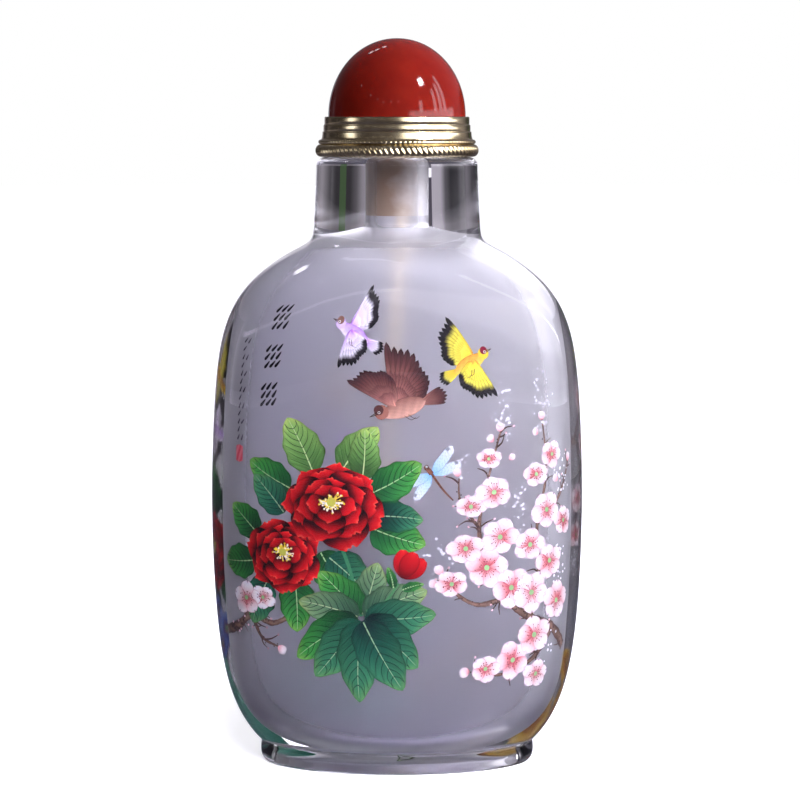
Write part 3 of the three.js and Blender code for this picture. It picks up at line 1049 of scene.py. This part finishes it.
def plug_profile():
    """The plug's outline, with a rounded edge at its foot."""
    low, high = plug_low.z / MM, plug_high.z / MM
    wide = plug_high.x / MM
    taper, edge_width, edge_height = 0.2, 0.2, 0.25
    narrow = wide - taper
    profile = [(0, low), (narrow - edge_width, low)]
    for turn in (i / 3 * math.pi / 2 for i in range(1, 4)):
        radius = narrow - edge_width * (1 - math.sin(turn))
        profile.append((radius, low + edge_height * (1 - math.cos(turn))))
    for share in (i / 12 for i in range(1, 13)):
        profile.append((narrow + taper * share, low + edge_height + (high - low - edge_height) * share))
    return profile + [(0, high)]


plug = turned("plug", plug_profile(), 64)
cork, tree, shader = finish_material("cork", Roughness=0.85)
grain = noise_in(tree, 1400, 6, 0.65)
colour = ramped(tree, grain, (0.35, (0.12, 0.06, 0.03)), (0.62, (0.42, 0.27, 0.16)))
tree.links.new(colour, shader.inputs["Base Color"])
add_bump(tree, shader, grain, 0.5, 0.0002)
plug.data.materials.append(cork)
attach(plug, "root")
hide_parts("stopper_plug")

# ------------------------------------------------------------------------------------------------
# The spoon. A long stem of pale bone, glued into the plug, that flattens into a leaf-shaped scoop.
# ------------------------------------------------------------------------------------------------
spoon_low, spoon_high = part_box("stopper_spoon")
spoon_tip = spoon_low.z / MM
spoon_top = spoon_high.z / MM
scoop_length = 8.0
scoop_half_width = 1.75
scoop_thickness = 0.4
scoop_bow = 0.5
stem_radius = {"root": 0.95, "scoop": 0.7}
spoon_root_offset = 0.6
spoon_lean = -0.06


def spoon_rings(sides=32):
    """Rings from the tip to the root. The scoop bows up along its edges."""
    sizes = []
    for t in (i / 41 for i in range(1, 41)):
        leaf_shape = math.sin(math.pi * t**0.8) ** 0.7
        blend = max(0.0, (t - 0.55) / 0.45) ** 2
        width = scoop_half_width * leaf_shape * (1 - blend) + stem_radius["scoop"] * blend
        depth = scoop_thickness * math.sqrt(leaf_shape) * (1 - blend) + stem_radius["scoop"] * blend
        sizes.append((width, depth, scoop_bow * leaf_shape * (1 - blend), spoon_tip + scoop_length * t))
    for t in (i / 30 for i in range(31)):
        radius = stem_radius["scoop"] + (stem_radius["root"] - stem_radius["scoop"]) * t
        z = spoon_tip + scoop_length + (spoon_top - spoon_tip - scoop_length) * t
        sizes.append((radius, radius, 0.0, z))
    rings = []
    for width, depth, bow, z in sizes:
        middle = spoon_root_offset + spoon_lean * (spoon_top - z)
        around = [(math.cos(turn), math.sin(turn)) for turn in turns(sides)]
        rings.append([(middle + width * x, depth * y + bow * x**2, z) for x, y in around])
    return rings


tip_offset = spoon_root_offset + spoon_lean * (spoon_top - spoon_tip)
spoon = skinned("spoon", spoon_rings(), [(tip_offset, 0, spoon_tip), (spoon_root_offset, 0, spoon_top)])
bone, tree, shader = finish_material("bone", Roughness=0.45)
colour = ramped(tree, noise_in(tree, 900, 4), (0.3, (0.62, 0.47, 0.25)), (0.7, (0.86, 0.76, 0.52)))
tree.links.new(colour, shader.inputs["Base Color"])
spoon.data.materials.append(bone)
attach(spoon, "root")
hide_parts("stopper_spoon")

# ------------------------------------------------------------------------------------------------
# The collar. Brass, turned in a lathe: a rim with slanted knurls, a milled bead, a cove, and two
# plain bands, the upper one burnished over the cabochon as its bezel.
# ------------------------------------------------------------------------------------------------
collar_low, collar_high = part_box("stopper_collar")
collar_base = collar_low.z / MM
collar_top = collar_high.z / MM
rim_height, bead_height, cove_height, lower_band_height = 1.5, 0.55, 0.95, 0.85
rim_core, rim_bulge, bead_bulge, cove_reach, band_step = 9.2, 0.65, 0.3, 0.22, 0.12
bezel_inner = 8.33
seat_depth = 1.0
knurl_count = 90
knurl_depth = 0.13
knurl_slant = 0.055  # radians of turn per millimetre of height
bead_count = 104
bead_depth = 0.07


def arc_profile(radius, height, reach, rise, start, end, steps):
    """Points up an arc of an ellipse, start and end in quarter turns."""
    points = []
    for i in range(steps + 1):
        turn = (start + (end - start) * i / steps) * math.pi / 2
        points.append((radius + reach * math.cos(turn), height + rise * math.sin(turn)))
    return points


def collar_profile():
    """The collar's outline, up the outside and down into the seat."""
    rim_middle = collar_base + rim_height / 2
    bead_middle = collar_base + rim_height + bead_height / 2
    cove_top = bead_middle + bead_height / 2 + cove_height
    lower_band_top = cove_top + lower_band_height
    lower_band = rim_core - cove_reach - band_step
    upper_band = lower_band - band_step
    profile = [(0, collar_base), (8.0, collar_base)]
    profile += arc_profile(rim_core, rim_middle, rim_bulge, rim_height / 2, -1, 1, 16)
    profile += arc_profile(rim_core, bead_middle, bead_bulge, bead_height / 2, -1, 1, 10)[1:]
    profile += arc_profile(rim_core, cove_top, cove_reach, cove_height, -1, -2, 10)[1:]
    for radius, low, high in [
        (lower_band, cove_top, lower_band_top),
        (upper_band, lower_band_top, collar_top),
    ]:
        profile += [
            (radius - 0.03, low + 0.02),
            (radius, low + 0.06),
            (radius, (low + high) / 2),
            (radius - 0.01, high - 0.1),
            (radius - 0.05, high - 0.03),
            (radius - 0.09, high),
        ]
    return profile + [
        (bezel_inner + 0.04, collar_top),
        (bezel_inner, collar_top - 0.05),
        (bezel_inner, collar_top - seat_depth),
        (bezel_inner - 0.3, collar_top - seat_depth),
        (0, collar_top - seat_depth),
    ]


def collar_relief(turn, radius, z):
    """How far the knurls of the rim and the balls of the bead stand in or out."""
    up = z - collar_base
    if radius > rim_core and up < rim_height:
        fade = math.sin(math.pi * up / rim_height) ** 0.5
        wave = math.cos(knurl_count * (turn + knurl_slant * up))
        return -knurl_depth * fade * (0.5 - 0.5 * math.tanh(2.2 * wave) / math.tanh(2.2))
    if radius > rim_core and up < rim_height + bead_height:
        fade = math.sin(math.pi * (up - rim_height) / bead_height)
        return -bead_depth * fade * (1 - abs(math.sin(bead_count * turn / 2)))
    return 0.0


collar = turned("collar", collar_profile(), 960, collar_relief)
brass, tree, shader = finish_material("brass", Metallic=1.0, Roughness=0.2)
tarnish = noise_in(tree, 260, 5, 0.6)
colour = ramped(tree, tarnish, (0.3, (0.50, 0.38, 0.20)), (0.65, (0.88, 0.77, 0.52)))
tree.links.new(colour, shader.inputs["Base Color"])
collar.data.materials.append(brass)
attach(collar, "root")
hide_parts("stopper_collar")

# ------------------------------------------------------------------------------------------------
# The cabochon. A dome of opaque red glass, ground and polished, seated in the bezel.
# ------------------------------------------------------------------------------------------------
cabochon_low, cabochon_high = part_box("stopper_cabochon")
cabochon_fullness = 2 / 2.03


def cabochon_profile():
    """The dome's outline, a quarter of a slightly full ellipse over a straight seat."""
    radius = cabochon_high.x / MM
    base, top = cabochon_low.z / MM, cabochon_high.z / MM
    edge = 0.1
    profile = [(0, base), (radius - edge, base), (radius, base + edge), (radius, collar_top - edge)]
    for turn in (i / 60 * math.pi / 2 for i in range(60)):
        across, up = math.cos(turn) ** cabochon_fullness, math.sin(turn) ** cabochon_fullness
        profile.append((radius * across, collar_top + (top - collar_top) * up))
    return profile + [(0, top)]


cabochon = turned("cabochon", cabochon_profile(), 160)
red_glass, tree, shader = finish_material(
    "red_glass", Roughness=0.06, IOR=1.52, Subsurface_Weight=0.25, Subsurface_Scale=0.002
)
shader.inputs["Subsurface Radius"].default_value = (1.0, 0.12, 0.06)
swirl = noise_in(tree, 120, 4, 0.55)
colour = ramped(tree, swirl, (0.35, (0.42, 0.013, 0.004)), (0.65, (0.60, 0.026, 0.008)))
tree.links.new(colour, shader.inputs["Base Color"])
cabochon.data.materials.append(red_glass)
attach(cabochon, "root")
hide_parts("stopper_cabochon")

# ------------------------------------------------------------------------------------------------
# The table it stands on, the light round it, and the camera. The room is dim, and lighter on the
# right. Lit gauzes hang in arcs round the bottle, each mirrored only by the pieces it is for, and
# cloths behind the bottle give its clear neck dark and light lines.
# ------------------------------------------------------------------------------------------------
def disc(name, radius, z, sides=96):
    rim = [(radius * math.cos(turn), radius * math.sin(turn), z) for turn in turns(sides)]
    return new_piece(name, rim, [tuple(range(sides))])


def eased_over(tree, value, start, end, low, high):
    """Goes smoothly from low, where the value is start, to high, where it is end."""
    node = tree.nodes.new("ShaderNodeMapRange")
    node.interpolation_type = "SMOOTHSTEP"
    for socket, setting in {"From Min": start, "From Max": end, "To Min": low, "To Max": high}.items():
        node.inputs[socket].default_value = setting
    tree.links.new(value, node.inputs["Value"])
    return node.outputs["Result"]


table = disc("table", 3000, -0.05)
table_white, tree, shader = finish_material(
    "table_white",
    Base_Color=(0.62, 0.62, 0.62, 1),
    Roughness=0.6,
    Specular_IOR_Level=0.2,
    Emission_Color=(1, 1, 1, 1),
)
place = tree.nodes.new("ShaderNodeTexCoord")
distance = tree.nodes.new("ShaderNodeVectorMath")
distance.operation = "LENGTH"
tree.links.new(place.outputs["Object"], distance.inputs[0])
shine = eased_over(tree, distance.outputs["Value"], 0.15, 2.0, 0.5, 1.0)
tree.links.new(shine, shader.inputs["Emission Strength"])
table.data.materials.append(table_white)
table.visible_diffuse = False
table.visible_glossy = False
table.visible_transmission = False

world = bpy.data.worlds.new("studio")
bpy.context.scene.world = world
world.use_nodes = True
sky = world.node_tree
place = sky.nodes.new("ShaderNodeTexCoord")
parts = sky.nodes.new("ShaderNodeSeparateXYZ")
sky.links.new(place.outputs["Generated"], parts.inputs[0])
rightness = sky.nodes.new("ShaderNodeMapRange")
rightness.inputs["From Min"].default_value = -1
sky.links.new(parts.outputs["X"], rightness.inputs["Value"])
room = sky.nodes.new("ShaderNodeMix")
room.data_type = "RGBA"
room.inputs["A"].default_value = (0.034, 0.028, 0.027, 1)
room.inputs["B"].default_value = (0.28, 0.27, 0.32, 1)
sky.links.new(rightness.outputs["Result"], room.inputs["Factor"])
ray = sky.nodes.new("ShaderNodeLightPath")
seen = sky.nodes.new("ShaderNodeMix")
seen.data_type = "RGBA"
seen.inputs["B"].default_value = (1, 1, 1, 1)
sky.links.new(ray.outputs["Is Camera Ray"], seen.inputs["Factor"])
sky.links.new(room.outputs["Result"], seen.inputs["A"])
sky.links.new(seen.outputs["Result"], sky.nodes["Background"].inputs["Color"])

arcs_middle = 45  # the height that the arcs' climbs are measured from
gauze_reach, cloth_reach, strip_reach = 1200, 300, 290


def arc_sheet(name, columns, material, reach):
    """A sheet in an arc round the bottle, which no camera sees and which casts no shadow, from
    columns of (bearing, climb, strength). Bearing 0 is behind the bottle and 90 on its right."""
    points, faces = [], []
    tall = len(columns[0])
    for turn, rise, _ in (spot for column in columns for spot in column):
        turn, rise = math.radians(turn), math.radians(rise)
        out = reach * math.cos(rise)
        points.append((out * math.sin(turn), out * math.cos(turn), arcs_middle + reach * math.sin(rise)))
    for i in range(len(columns) - 1):
        for a in range(i * tall, (i + 1) * tall - 1):
            faces.append((a, a + tall, a + tall + 1, a + 1))
    piece = new_piece(name, points, faces)
    strengths = [strength for column in columns for _, _, strength in column]
    piece.data.attributes.new("strength", "FLOAT", "POINT").data.foreach_set("value", strengths)
    piece.data.materials.append(material)
    piece.visible_camera = False
    piece.visible_shadow = False
    return piece


def strength_of(tree):
    """The strength that an arc_sheet's columns gave it."""
    strength = tree.nodes.new("ShaderNodeAttribute")
    strength.attribute_name = "strength"
    return strength


def followed(rows, turn):
    """The values at a bearing, from rows of (bearing, values ...) in either order."""
    rows = sorted(rows)
    for (a, *low), (b, *high) in zip(rows, rows[1:]):
        if turn <= b:
            share = max(0.0, (turn - a) / (b - a))
            return [p + (q - p) * share for p, q in zip(low, high)]
    return rows[-1][1:]


def eased(share):
    share = min(1.0, max(0.0, share))
    return share * share * (3 - 2 * share)


warm_white = (1, 0.98, 1.05)


def glow(name, level, band, soft, mirrored_in, colour=warm_white, ends=8):
    """A lit gauze with soft edges, which only some pieces mirror: band holds rows of (bearing,
    lowest and highest climb), and soft and ends are how far it fades beyond them."""
    first, last = min(row[0] for row in band), max(row[0] for row in band)
    columns = []
    for i in range(49):
        turn = first - ends + (last - first + 2 * ends) * i / 48
        low, high = followed(band, turn)
        side = eased((turn - first) / ends + 1) * eased((last - turn) / ends + 1)
        column = []
        for j in range(17):
            rise = low - soft + (high - low + 2 * soft) * j / 16
            column.append((turn, rise, side * eased((rise - low) / soft + 1) * eased((high - rise) / soft + 1)))
        columns.append(column)
    gauze = bpy.data.materials.new(name + "_gauze")
    gauze.use_nodes = True
    tree = gauze.node_tree
    gain = tree.nodes.new("ShaderNodeMath")
    gain.operation = "MULTIPLY"
    gain.inputs[1].default_value = level
    shining = tree.nodes.new("ShaderNodeEmission")
    shining.inputs["Color"].default_value = (*colour, 1)
    see_through = tree.nodes.new("ShaderNodeBsdfTransparent")
    both = tree.nodes.new("ShaderNodeAddShader")
    tree.links.new(strength_of(tree).outputs["Fac"], gain.inputs[0])
    tree.links.new(gain.outputs["Value"], shining.inputs["Strength"])
    tree.links.new(shining.outputs["Emission"], both.inputs[0])
    tree.links.new(see_through.outputs["BSDF"], both.inputs[1])
    tree.links.new(both.outputs["Shader"], tree.nodes["Material Output"].inputs["Surface"])
    arc_sheet(name, columns, gauze, gauze_reach).light_linking.receiver_collection = mirrored_in


def spot_glow(name, level, turn, rise, half_width, half_height, soft, ends):
    """A small glow on the stopper, round one bearing and climb."""
    low, high = rise - half_height, rise + half_height
    band = [(turn - half_width, low, high), (turn + half_width, low, high)]
    glow(name, level, band, soft, stopper_tops, ends=ends)


lit = bpy.data.collections.new("glass_and_picture")
stopper_tops = bpy.data.collections.new("collar_and_cabochon")
collar_alone = bpy.data.collections.new("collar_alone")
for piece in bpy.context.scene.objects:
    if piece.name.startswith(("picture", "bottle_glass", "spoon", "plug", "table")):
        lit.objects.link(piece)
    elif piece.name.startswith(("collar", "cabochon")):
        stopper_tops.objects.link(piece)
collar_alone.objects.link(collar)

# What the glass mirrors: a bright strip that thins to a line on the left, two fine lines and a lamp
shoulder_line = [
    (275, 10.2, 11.2), (242, 16.8, 17.8), (219, 22.6, 23.6), (204, 23.8, 24.8), (183, 23.6, 24.6),
]
shoulder_strip = [
    (184, 19.8, 23.4), (161, 15.4, 22), (131, 13.5, 25), (116, 9, 27), (90, 7.5, 28), (68, 6, 26),
]
glow("shoulder_line", 2.4, shoulder_line, 0.9, lit)
glow("shoulder_strip", 1.9, shoulder_strip, 5, lit, ends=14)
glow("shoulder_haze", 0.12, [(180, 26, 62), (120, 26, 62), (60, 26, 60)], 5, lit, ends=16)
glow("ridge_line", 5, [(126, 41.5, 42.5), (105, 32, 33), (81, 19, 20), (67, 6, 7)], 1.2, lit)
glow("neck_line", 3, [(250, 56, 57), (215, 50.5, 51.2), (180, 43, 43.6)], 0.7, lit)
glow("small_lamp", 16, [(285, 45.8, 48), (293, 46, 48.2)], 1.6, lit, ends=3)
# A paler room low on both sides, round the foot and behind
glow("right_flank_haze", 2.6, [(125, -9, -3), (50, -9, -3)], 2, lit, ends=14)
glow("left_flank_haze", 1.2, [(300, -9, -3), (235, -9, -3)], 2, lit, ends=14)
glow("low_left_white", 1.6, [(290, -24, -15), (245, -24, -15)], 3, lit)
glow("left_rim", 0.8, [(345, -34, 12), (288, -34, 12)], 8, lit, ends=10)
glow("right_rim", 0.8, [(72, -34, 12), (15, -34, 12)], 8, lit, ends=10)
glow("behind_low", 0.45, [(28, -28, 52), (-12, -28, 52)], 10, lit, (0.96, 0.94, 1.05), ends=10)
glow("behind_high", 2.2, [(60, 18, 60), (15, 18, 60)], 8, lit, (0.98, 0.97, 1.05), ends=12)
# What the collar and the cabochon mirror: a window on the right, its bars, and small lamps
glow("window_foot", 2.6, [(154, -12, 6), (76, -12, 6)], 4, stopper_tops, ends=10)
glow("collar_window", 3.2, [(162, -36, 34), (92, -36, 34)], 10, collar_alone, (1.0, 0.99, 1.0), ends=14)
glow("collar_streak", 2.0, [(262, -20, 20), (252, -20, 20)], 6, collar_alone, ends=6)
for turn, top in ((92, 41), (101, 34), (112, 30), (139, 19)):
    glow("window_bar", 3.2, [(turn - 2, 8, top), (turn + 2, 8, top)], 2, stopper_tops, ends=2)
glow("front_lamp", 60, [(125, 41, 46), (131, 40, 45)], 3.5, stopper_tops, ends=4)
for turn, rise in ((324, 50), (330, 54), (341, 56)):
    spot_glow("side_lamp", 5, turn, rise, 2, 1, 1.5, 2)
for turn, rise in ((254, 34), (228, 26), (214, 22), (203, 19), (190, 20), (178, 20)):
    spot_glow("far_lamp", 1.6, turn, rise, 0.6, 0.5, 1, 1.2)
glow("low_glow", 8, [(240, -50, -14), (168, -50, -14)], 6, collar_alone, (1.08, 0.96, 1.0))

# The backcloth: what shows through the clear neck on either side of the bore, paler low down
cloth_low, cloth_high = -8, 16
paler_below, plain_above, paler_by = -2.6, -1.2, 0.3
cloth_glow = 0.27
right_tones = [
    (-75, 0.1), (-64, 0.07), (-55, 0.07), (-50, 0.2), (-45, 0.35), (-41, 0.06),
    (-37, 0.15), (-34, 0.05), (-28, 0.03), (-24, 0.2), (-21, 0.9), (-16, 1.0),
]
left_tones = [
    (14, 0.7), (16, 0.6), (19, 0.25), (23, 0.08), (34, 0.08), (42, 0.21), (48, 0.5), (54, 0.82), (70, 0.9),
]
for name, tones in (("backcloth_for_right", right_tones), ("backcloth_for_left", left_tones)):
    columns = []
    for i in range(97):
        turn = tones[0][0] + (tones[-1][0] - tones[0][0]) * i / 96
        (tone,) = followed(tones, turn)
        pale = [(turn, rise, tone + paler_by) for rise in (cloth_low, paler_below)]
        columns.append(pale + [(turn, rise, tone) for rise in (plain_above, cloth_high)])
    cloth, tree, shader = finish_material(name + "_cloth", Roughness=1.0, Emission_Strength=cloth_glow)
    tint = tree.nodes.new("ShaderNodeMix")
    tint.data_type = "RGBA"
    tint.blend_type = "MULTIPLY"
    tint.inputs["Factor"].default_value = 1
    tint.inputs["A"].default_value = (1.0, 0.94, 1.02, 1)
    tree.links.new(strength_of(tree).outputs["Color"], tint.inputs["B"])
    tree.links.new(tint.outputs["Result"], shader.inputs["Base Color"])
    tree.links.new(tint.outputs["Result"], shader.inputs["Emission Color"])
    arc_sheet(name, columns, cloth, cloth_reach).visible_diffuse = False
green = (0.13, 0.23, 0.10, 1)
green_cloth, _, _ = finish_material(
    "green_cloth", Base_Color=green, Roughness=1.0, Emission_Color=green, Emission_Strength=cloth_glow
)
green_strip = [[(turn, cloth_low, 1), (turn, cloth_high, 1)] for turn in (26, 31)]
arc_sheet("green_strip", green_strip, green_cloth, strip_reach).visible_diffuse = False

# The runner: a grey-violet cloth on the table that only glass and metal see, sunny on the right
runner = disc("runner", 2900, -0.03)
runner_cloth, tree, shader = finish_material(
    "runner_cloth", Base_Color=(0.42, 0.40, 0.48, 1), Roughness=1.0, Emission_Color=(0.98, 0.97, 1.05, 1)
)
place = tree.nodes.new("ShaderNodeTexCoord")
parts = tree.nodes.new("ShaderNodeSeparateXYZ")
tree.links.new(place.outputs["Object"], parts.inputs[0])
sunny = eased_over(tree, parts.outputs["X"], 0.1, 0.6, 0.0, 0.3)
tree.links.new(sunny, shader.inputs["Emission Strength"])
runner.data.materials.append(runner_cloth)
runner.visible_camera = False
runner.visible_diffuse = False
runner.visible_shadow = False

softbox_lamp = bpy.data.lights.new("softbox", "AREA")
softbox_lamp.shape = "RECTANGLE"
softbox_lamp.size = 0.6
softbox_lamp.size_y = 0.4
softbox_lamp.energy = 24
softbox_lamp.color = (0.95, 0.945, 1.13)
softbox = bpy.data.objects.new("softbox", softbox_lamp)
softbox.location = (0.22, -0.45, 0.5)
aim = Vector((0, 0, arcs_middle * MM)) - softbox.location
softbox.rotation_euler = aim.to_track_quat("-Z", "Y").to_euler()
bpy.context.scene.collection.objects.link(softbox)
softbox.light_linking.receiver_collection = lit
softbox.visible_glossy = False

camera_data = bpy.data.cameras.new("camera")
camera_data.sensor_width = 36
camera_data.lens = 128.1
camera_data.shift_x = 0.00375
camera_data.clip_start = 0.01
camera = bpy.data.objects.new("camera", camera_data)
camera.location = (0, -0.345, 0.0784)
camera.rotation_euler = (math.radians(90 - 5.65), 0, 0)
bpy.context.scene.collection.objects.link(camera)
bpy.context.scene.camera = camera
bpy.context.scene.view_settings.view_transform = "Standard"
